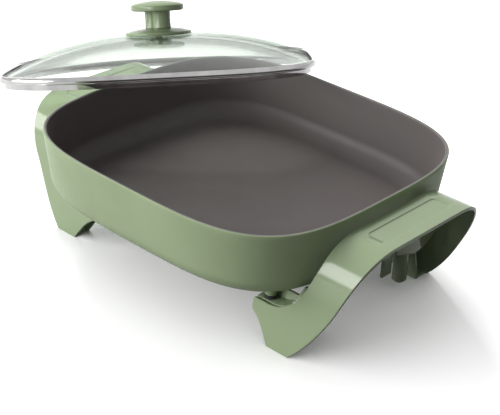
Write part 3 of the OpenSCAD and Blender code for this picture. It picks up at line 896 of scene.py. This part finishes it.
def handle_shell():
    """Grip and legs as one bent sheet, its outer face, inner face and edges."""
    grip_wid = GRIP_OUT - GRIP_IN
    marks = [(grip_wid / 2 + k * RECESS_WID / 2) / grip_wid for k in (-1, 1)]
    shares = spread(ACROSS_COLUMNS, marks, 0.03)
    rows = leg_points(1, shares) + grip_points(shares) + leg_points(-1, shares)[::-1]
    n, m = len(rows), len(shares)
    inner = n * m  # from a point of the outer face to its fellow on the inner face
    verts = [placed(pair[skin]) for skin in (0, 1) for row in rows for pair in row]

    def edge_face(a, step, turned):
        """Joins the two faces' edges, from point a to a + step."""
        face = (a, a + step, inner + a + step, inner + a)
        return face[:1] + face[:0:-1] if turned else face

    faces = []
    for r in range(n - 1):
        for a in range(r * m, r * m + m - 1):
            faces.append((a, a + 1, a + m + 1, a + m))
            faces.append((inner + a, inner + a + m, inner + a + m + 1, inner + a + 1))
        for c in (0, m - 1):
            faces.append(edge_face(r * m + c, m, c > 0))
    for r in (0, n - 1):
        for a in range(r * m, r * m + m - 1):
            faces.append(edge_face(a, 1, r == 0))
    mesh = outward(mesh_of("handle_shell", verts, faces, [PLASTIC]), MERGE)
    return bevelled(mesh, 0.9, angle=60)


def moulded_wall(name, outline, low, high, axis, bevel=0.5, lean=None):
    """A flat outline drawn out along X, Y or Z; lean gives its shift from the outline's second value."""
    verts = []
    for end in (low, high):
        for u, v in outline:
            start = end + (lean(v) if lean else 0)
            verts.append(placed({"x": (start, u, v), "y": (u, start, v), "z": (u, v, start)}[axis]))
    n = len(outline)
    faces = [tuple(range(n))[::-1], tuple(range(n, 2 * n))]
    faces += [(i, (i + 1) % n, n + (i + 1) % n, n + i) for i in range(n)]
    return bevelled(outward(mesh_of(name, verts, faces, [PLASTIC]), MERGE), bevel)


def leg_inside(side):
    """Inner wall, fin, shelf and sole of one leg."""
    low = FOOT_REACH - FOOT_DEPTH
    high = low - WALL_LEAN
    bend = SHELF + FIN_H  # where the leaning wall gives way to the upright fin
    outline = [tuple(p) for p in INNER_FOOT] + [(SHELF_END + 6, bend), (FOOT_OUT, bend), (FOOT_OUT, 0)]
    wall = moulded_wall("leg_wall", outline, low, low + MOULD, "y", lean=lambda z: -WALL_LEAN * z / bend)
    outline = [(FOOT_OUT - FIN_ROOT, bend - 1), (FOOT_OUT, bend - 1), (FOOT_OUT, FIN_TOP),
               (FOOT_OUT - FIN_TIP, FIN_TOP)]
    fin = moulded_wall("leg_fin", outline, high, high + MOULD, "y")
    sunk = 0.02  # how far the shelf's top lies under the sheet's edge
    web = [(SHELF_END + 0.4, SHELF - sunk)]
    web += [(p[0], p[1] - sunk) for p in SHELF_CORNER[1:] + SADDLE if p[1] < FIN_TOP]
    under = [(p[0] - n[0] * MOULD, p[1] - n[1] * MOULD) for p, n in zip(web, normals(web))]
    shelf_reach = FOOT_REACH - 11.6  # inside the leg's face at the shelf's height
    shelf = moulded_wall("leg_shelf", web + under[::-1], high + MOULD / 2, shelf_reach, "y", 0.3)
    tuck = 0.5  # how far the sole keeps inside the walls round it
    near, far = low + tuck, FOOT_REACH - 1.2
    outline = [(FOOT_IN + tuck, near), (FOOT_OUT - tuck, near),
               (FOOT_OUT - tuck, far), (FOOT_IN + tuck, far)]
    sole = moulded_wall("leg_sole", outline, 0, MOULD, "z")
    return [transformed(m, Matrix.Diagonal((1, side, 1, 1))) for m in (wall, fin, shelf, sole)]


def apron(side):
    """Half of the cross wall under the pan's edge."""
    reach = FOOT_REACH - 11
    low = bezier([(reach - 33, APRON_LOW), (reach - 21, APRON_LOW), (reach - 11, APRON_LOW + 3.5),
                  (reach, APRON_LOW + 13.5)], 16)
    outline = [(APRON_NEAR, APRON_TOP), (APRON_NEAR, APRON_LOW + 8.5), *map(tuple, low), (reach, APRON_TOP)]
    mesh = moulded_wall("apron", outline, APRON_X - MOULD, APRON_X, "x", 0.6)
    return transformed(mesh, Matrix.Diagonal((1, side, 1, 1)))


def make_handles():
    """The right moulding, and the left one as its mirror image."""
    parts = [handle_shell()]
    for side in (1, -1):
        parts += leg_inside(side) + [apron(side)]
    right = joined("handle_moulding_right", parts)
    left = transformed(right, Matrix.Diagonal((-1, 1, 1, 1)))
    left.name = "handle_moulding_left"
    add_piece("handle_moulding_right", right, SKILLET, "handle_right", sharp=45)
    add_piece("handle_moulding_left", left, SKILLET, "handle_left", sharp=45)


make_handles()

# ---- under the pan -----------------------------------------------------


def softened(node, name, body, material, bevel):
    """A solid with its edges rounded."""
    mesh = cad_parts[node].data.copy()
    mesh.materials.clear()
    mesh.materials.append(material)
    b = bmesh.new()
    b.from_mesh(mesh)
    bmesh.ops.remove_doubles(b, verts=b.verts, dist=MERGE)
    bmesh.ops.dissolve_limit(b, angle_limit=radians(1), verts=b.verts, edges=b.edges)
    for f in b.faces:
        f.material_index = 0
    b.to_mesh(mesh)
    b.free()
    add_piece(name, bevelled(mesh, bevel, segments=2, angle=50), body, node, sharp=40)


def standoff_section(tall):
    """A solid column with bevelled ends."""
    r = STANDOFF_R
    return [(2.6, 0), (r - 0.5, 0), (r, 0.5), (r, tall - 0.3), (r - 0.2, tall), (0.8, tall)]


def insulating_section(tall):
    """A thick ring, bevelled outside and in its bore."""
    r, bore, soft = STANDOFF_R + 0.3, SCREW_BORE_R, 0.4
    return [(bore, 0.2), (3.0, 0), (r - soft, 0), (r, soft), (r, tall - soft), (r - soft, tall),
            (3.0, tall), (bore, tall - 0.2)]


def flat_washer_section(tall):
    """A thin ring with a slightly bevelled outside."""
    r, bore = FLAT_WASHER_R, SCREW_BORE_R
    return [(bore, 0), (r - 0.1, 0), (r, 0.15), (r, tall - 0.15), (r - 0.1, tall), (bore, tall)]


def at_standoffs(name, node, material, section, closed=True):
    """A turned fixing at the place of each standoff, as tall as its solid."""
    low, high = (corner.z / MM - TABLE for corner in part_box(node))
    single = lathe(name, section(high - low), material, 48, closed)
    spots = [(x * STANDOFF_X, y * STANDOFF_Y, low) for x in (-1, 1) for y in (-1, 1)]
    add_piece(name, fixings(name, single, spots, material), SKILLET, node)


def make_heater():
    """The ring's sheath, drawn as a tube along its path."""
    low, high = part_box("heating_element")
    radius = (high.z - low.z) / MM / 2
    z = (high.z + low.z) / MM / 2 - TABLE
    half_wid = high.y / MM - radius
    half_len = -low.x / MM - radius

    def bend(x, y, start, stop):
        """A quarter turn about (x, y), between two directions in degrees."""
        turns = [radians(start + (stop - start) * i / 12) for i in range(13)]
        return [(x + HEATER_BEND * cos(t), y + HEATER_BEND * sin(t)) for t in turns]

    path = [(high.x / MM, PIN_Y)]
    path += bend(half_len + HEATER_BEND, PIN_Y + HEATER_BEND, 270, 180)
    path += bend(half_len - HEATER_BEND, half_wid - HEATER_BEND, 0, 90)
    path += bend(-half_len + HEATER_BEND, half_wid - HEATER_BEND, 90, 180)
    path += [(x, -y) for x, y in path[::-1]]
    edges = [(i, i + 1) for i in range(len(path) - 1)]
    route = mesh_of("sheath_path", [placed((x, y, z)) for x, y in path], [], edges=edges)
    tube = run_tree(TUBE, route, Radius=radius * MM, Finish=SHEATH)
    add_piece("heater_sheath", outward(tube, MERGE), SKILLET, "heating_element")


at_standoffs("standoff_columns", "standoffs", ENAMEL, standoff_section, closed=False)
at_standoffs("insulating_rings", "insulating_washers", RUBBER, insulating_section)
at_standoffs("flat_washers", "screw_washers", PLATED, flat_washer_section)
softened("handle_screws", "mounting_screws", SKILLET, PLATED, 0.25)
make_heater()
softened("terminal_guard", "inlet_guard", SKILLET, PLASTIC, 1.2)
softened("terminal_pins", "inlet_pins", SKILLET, STEEL, 0.3)
softened("pin_insulators", "pin_beads", SKILLET, CERAMIC, 0.4)
softened("probe_sleeve", "probe_tube", SKILLET, PLATED, 0.2)
softened("guard_studs", "weld_studs", SKILLET, PLATED, 0.3)
softened("guard_nuts", "hex_nuts", SKILLET, PLATED, 0.3)

# ---- lid ---------------------------------------------------------------


def lid_pose():
    """Where the lid lies: its turn and tilt are given, and the solid band says how high."""
    way = radians(LID_TILT_WAY)
    tilt = Matrix.Rotation(radians(LID_TILT), 4, Vector((cos(way), sin(way), 0)))
    turned = tilt @ Matrix.Rotation(radians(LID_TURN), 4, "Z")
    band_low = -BAND_H / 2
    corners = ((0, band_low + BAND_CORNER), (BAND_CORNER, band_low), (SKIRT_INSET, band_low - SKIRT_H))
    lowest = []  # heights of the band's and the skirt's lower corners, once turned
    for inset, z in corners:
        for t in turns_round(TURNS):
            corner = outline_point(LID_HALF_LEN - inset, LID_HALF_WID - inset, CORNER_POWER, t)
            lowest.append((turned @ Vector((*corner, z)))[2])
    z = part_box("lid_band")[0].z - min(lowest) * MM
    return Matrix.Translation((LID_X * MM, LID_Y * MM, z)) @ turned


LID_POSE = lid_pose()


def make_glass():
    """The domed pane with a ground edge and the knob screw's hole."""
    half_len, half_wid = LID_HALF_LEN - BAND_T - FIT, LID_HALF_WID - BAND_T - FIT
    rise = DOME - GLASS_LOW - GLASS_T
    hole = GLASS_HOLE_R / (half_len - GLASS_EDGE)
    steps = 44
    top, under = [], []
    for i in range(steps + 1):
        share = hole + (1 - hole) * i / steps
        power = 2 + (CORNER_POWER - 2) * share
        height = GLASS_LOW + rise * (1 - share**DOME_POWER)
        under.append((GLASS_EDGE, share, power, height, 0))
        top.append((GLASS_EDGE, share, power, height + GLASS_T, 0))
    ground = 0.8  # width of the bevel ground on the edge
    edge_low = [(inset, 1, CORNER_POWER, GLASS_LOW + up, 0)
                for inset, up in ((2.5, 0), (ground, 0), (0, ground))]
    edge_top = [(i, s, p, 2 * GLASS_LOW + GLASS_T - h, z) for i, s, p, h, z in edge_low[::-1]]
    rings = under + edge_low + edge_top + top[::-1]
    mesh = ringed("lid_pane", rings, half_len, half_wid, [GLASS], closed=True)
    mesh.transform(LID_POSE)
    add_piece("lid_pane", mesh, LID, "lid_glass")


def bead_face(start=110, stop=-85, steps=26):
    """The band's bulging face; 0 degrees faces outward and 90 up."""
    turns = [radians(start + (stop - start) * i / steps) for i in range(steps + 1)]
    return [(BEAD_DEPTH - BEAD_DEPTH * cos(t), BAND_H / 2 * sin(t)) for t in turns]


def make_band():
    """The rolled steel band round the glass, with its locating skirt."""
    low = -BAND_H / 2
    skirt = low - SKIRT_H
    lip = GLASS_EDGE - 1
    glass_top = GLASS_LOW + GLASS_T + FIT
    inner = SKIRT_INSET + BAND_T
    section = [(lip, glass_top + BAND_T * 0.75), (lip - 0.6, glass_top + BAND_T),
               (4.0, glass_top + BAND_T + 0.2)]
    section += bead_face()
    section += [(SKIRT_INSET - 0.5, low), (SKIRT_INSET - 0.1, low - 0.2), (SKIRT_INSET, low - 0.6),
                (SKIRT_INSET, skirt + 0.3), (SKIRT_INSET + 0.2, skirt), (inner - 0.2, skirt),
                (inner, skirt + 0.3), (inner, low + BAND_T)]
    section += [(BAND_T, low + BAND_T), (BAND_T, glass_top), (lip, glass_top)]
    rings = [(inset, 1, CORNER_POWER, height, 0) for inset, height in section]
    mesh = ringed("lid_rim", rings, LID_HALF_LEN, LID_HALF_WID, [STEEL], closed=True)
    mesh.transform(LID_POSE)
    add_piece("lid_rim", mesh, LID, "lid_band", sharp=50)


def add_knob_piece(name, mesh, node, height, sharp):
    """Stands a piece of the knob on the lid, its foot at a height above the band's middle."""
    turn = Matrix.Rotation(radians(KNOB_TURN), 4, "Z")
    mesh.transform(LID_POSE @ Matrix.Translation((0, 0, height * MM)) @ turn)
    add_piece(name, mesh, LID, node, sharp)


def make_knob_disc():
    """The knob's base: an upright edge, a step and a slope that eases up to the stem."""
    r, h = BASE_R, BASE_H
    foot = [(KNOB_BORE_R, 0.1), (13.2, 0.1), (15, 0), (r - 1.4, -0.5), (r - 0.7, -0.35),
            (r - 0.2, 0.0), (r, 0.6)]
    edge = [(r, h * 0.3), (r - 0.25, h * 0.37), (r - 0.8, h * 0.43), (r - 2, h * 0.47)]
    slope = [(r * 0.85, h * 0.58), (r * 0.75, h * 0.71), (r * 0.62, h * 0.82), (r * 0.5, h * 0.89),
             (r * 0.36, h * 0.97), (11, h), (KNOB_BORE_R, h)]
    mesh = lathe("knob_disc", foot + edge + slope, KNOB_PLASTIC_IN_PAINTED_SHADE, 160, closed=True)
    add_knob_piece("knob_disc", mesh, "knob_base", BASE_Z, 45)


def make_knob_column():
    """The stem, two round lobes side by side that narrow slightly half way up."""
    waist = sqrt(LOBE_R**2 - (LOBE_SPREAD / 2) ** 2)
    half_angle = pi - atan2(waist, LOBE_SPREAD / 2)
    outline = []
    for lobe, facing in ((1, 0), (-1, pi)):
        for i in range(48):
            t = facing - half_angle + 2 * half_angle * i / 48
            outline.append((lobe * LOBE_SPREAD / 2 + LOBE_R * cos(t), LOBE_R * sin(t)))
    rings = []
    for share, grow in ((0, 0), (0.03, -0.15), (0.5, -0.45), (0.97, -0.15), (1, 0)):
        height = STEM_H * share
        rings.append([(x + grow * x / LOBE_R / 2, y + grow * y / LOBE_R, height) for x, y in outline])
    mesh = ring_mesh("knob_column", rings, KNOB_PLASTIC_IN_PAINTED_SHADE)
    add_knob_piece("knob_column", mesh, "knob_stem", STEM_Z, 45)


def make_knob_top():
    """The oval cap: flat underneath, with a rounded rim and a crowned top."""
    half_len, half_wid = CAP_LEN / 2, CAP_WID / 2
    section = [(half_len * share, half_wid * share, 0) for share in (0.35, 0.7)]
    for middle, start in ((CAP_ROUND, -80), (CAP_EDGE - CAP_ROUND, 0)):
        for t in (radians(start + 10 * i) for i in range(9)):
            inset = CAP_ROUND * (1 - cos(t))
            section.append((half_len - inset, half_wid - inset, middle + CAP_ROUND * sin(t)))
    for share in (0.9, 0.8, 0.65, 0.5, 0.35, 0.2, 0.08):
        height = CAP_EDGE + CAP_CROWN * (1 - share * share)
        section.append((half_len * share, half_wid * share, height))
    rings = [[(*outline_point(a, b, 2, t), height) for t in turns_round(144)] for a, b, height in section]
    add_knob_piece("knob_top", ring_mesh("knob_top", rings, KNOB_PLASTIC_IN_PAINTED_SHADE), "knob_cap", CAP_Z, 50)


make_glass()
make_band()
make_knob_disc()
make_knob_column()
make_knob_top()
softened("knob_seal", "upper_seal", LID, RUBBER, 0.2)
softened("knob_grommet", "glass_grommet", LID, RUBBER, 0.2)
softened("knob_washer", "knob_flat_washer", LID, PLATED, 0.2)
softened("knob_screw", "knob_fixing_screw", LID, PLATED, 0.2)

# ---- studio ------------------------------------------------------------

CAMERA_PLACE = (745.6, -827.6, 664.8)  # its height counted from the table
CAMERA_TURN, CAMERA_RISE, CAMERA_ROLL = 41.63, 29.0, 2.87  # degrees
LENS, SENSOR = 96.0, 36.0
# The rest of the studio is in metres
LAMP_REACH = 2.2
FLOOR_HALF = 4
FLOOR_LIFT = 0.74  # the floor's own light, where it is seen
# The glow fades near the skillet and beside its feet: painted shadow.
FLOOR_SHADE_REACH = 0.3  # how near the skillet that light fades
CONTACT_REACH = 0.03  # how near a foot it fades further
CONTACT_DARK = 0.3  # what is left of it right beside a foot
FLOOR_BOUNCE = 0.15  # the floor's shade in the light it throws back
ROOM_LIGHT = 0.19  # the room's strength as light; where it is seen or mirrored it is white


def make_camera():
    """Looks down on the pan's near right corner."""
    azimuth, elevation, roll = radians(CAMERA_TURN), radians(CAMERA_RISE), radians(CAMERA_ROLL)
    back = Vector((sin(azimuth) * cos(elevation), -cos(azimuth) * cos(elevation), sin(elevation)))
    level = Vector((cos(azimuth), sin(azimuth), 0))
    upright = back.cross(level)
    right = level * cos(roll) + upright * sin(roll)
    up = upright * cos(roll) - level * sin(roll)
    data = bpy.data.cameras.new("camera")
    data.lens, data.sensor_width = LENS, SENSOR
    camera = bpy.data.objects.new("camera", data)
    bpy.context.scene.collection.objects.link(camera)
    x, y, z = CAMERA_PLACE
    camera.matrix_world = Matrix((right, up, back)).transposed().to_4x4()
    camera.matrix_world.translation = Vector((x, y, z + TABLE)) * MM
    bpy.context.scene.camera = camera


def make_floor():
    """A pale floor that glows where it is seen, with painted shadow near the skillet and beside its feet,
    and keeps the skillet's cast shadow.
    """
    sides = ((-1, -1), (1, -1), (1, 1), (-1, 1))
    corners = [(x * FLOOR_HALF, y * FLOOR_HALF, TABLE * MM) for x, y in sides]
    s = Finish("pale_floor")
    whites = [(0.3, (0.95, 0.95, 0.95, 1)), (0.7, (0.97, 0.97, 0.97, 1))]
    s.into(s.ramp(s.noise(2, 2), whites), "Base Color")
    s.fixed(Roughness=0.9, Specular_IOR_Level=0.1)

    def openness(reach):
        """How little stands near a place on the floor."""
        return s.add("ShaderNodeAmbientOcclusion", {"Distance": reach}, samples=12).outputs["AO"]

    rays = s.add("ShaderNodeLightPath").outputs
    seen = s.math("MAXIMUM", rays["Is Camera Ray"], rays["Is Transmission Ray"])
    # painted shadow: ambient occlusion dims the glow near the skillet, and more beside its feet
    glow = s.math("MULTIPLY", s.math("MULTIPLY", seen, FLOOR_LIFT), openness(FLOOR_SHADE_REACH))
    painted_contact_shadow = s.span(openness(CONTACT_REACH), CONTACT_DARK, 1.0, 0.0, 1.0)
    lift = s.add("ShaderNodeEmission", {"Strength": s.math("MULTIPLY", glow, painted_contact_shadow)})
    dim = s.add("ShaderNodeBsdfDiffuse", {"Color": (FLOOR_BOUNCE, FLOOR_BOUNCE, FLOOR_BOUNCE, 1)})
    body = s.mix(rays["Is Diffuse Ray"], s.body, dim.outputs["BSDF"])
    s.surface(s.add("ShaderNodeAddShader", {0: body, 1: lift.outputs["Emission"]}).outputs[0])
    floor = bpy.data.objects.new("floor", mesh_of("floor", corners, [(0, 1, 2, 3)], [s.material]))
    bpy.context.scene.collection.objects.link(floor)


def make_room():
    """White where it is seen or mirrored, and dim as a light."""
    world = bpy.data.worlds.new("studio")
    bpy.context.scene.world = world
    world.use_nodes = True
    s = Nodes(world.node_tree)
    rays = s.add("ShaderNodeLightPath").outputs
    seen = s.math("MAXIMUM", rays["Is Camera Ray"], rays["Is Transmission Ray"])
    tones = {
        "Factor": s.math("MAXIMUM", seen, rays["Is Glossy Ray"]),
        "A": (ROOM_LIGHT, ROOM_LIGHT, ROOM_LIGHT, 1),
        "B": (1, 1, 1, 1),
    }
    background = s.tree.nodes["Background"]
    s.feed(background.inputs["Color"], s.add("ShaderNodeMix", tones, data_type="RGBA").outputs["Result"])
    s.feed(background.inputs["Strength"], 1.0)


def all_but_the_pane():
    """What the soft boxes light: the pane is left out, because it would mirror their outlines."""
    receivers = bpy.data.collections.new("free_of_box_reflections")
    receivers.objects.link(bpy.data.objects["lid_pane"])
    receivers.collection_objects[0].light_linking.link_state = "EXCLUDE"
    return receivers


def make_soft_box(name, azimuth, elevation, size, power, mirrored, receivers):
    """A rectangular lamp that faces the pan from a direction in degrees."""
    turn, rise = radians(azimuth), radians(elevation)
    way = Vector((cos(turn) * cos(rise), sin(turn) * cos(rise), sin(rise)))
    data = bpy.data.lights.new(name, "AREA")
    data.shape = "RECTANGLE"
    data.size, data.size_y = size
    data.energy = power
    lamp = bpy.data.objects.new(name, data)
    lamp.visible_glossy = mirrored
    lamp.light_linking.receiver_collection = receivers
    bpy.context.scene.collection.objects.link(lamp)
    lamp.location = way * LAMP_REACH
    lamp.rotation_euler = (-way).to_track_quat("-Z", "Y").to_euler()


make_camera()
make_floor()
make_room()
LIT_BY_BOXES = all_but_the_pane()
make_soft_box("front_left", 238, 17.5, (2.6, 0.95), 60, True, LIT_BY_BOXES)
make_soft_box("back_left", 150, 42, (1.0, 0.9), 52, False, LIT_BY_BOXES)
bpy.context.scene.view_settings.view_transform = "Standard"
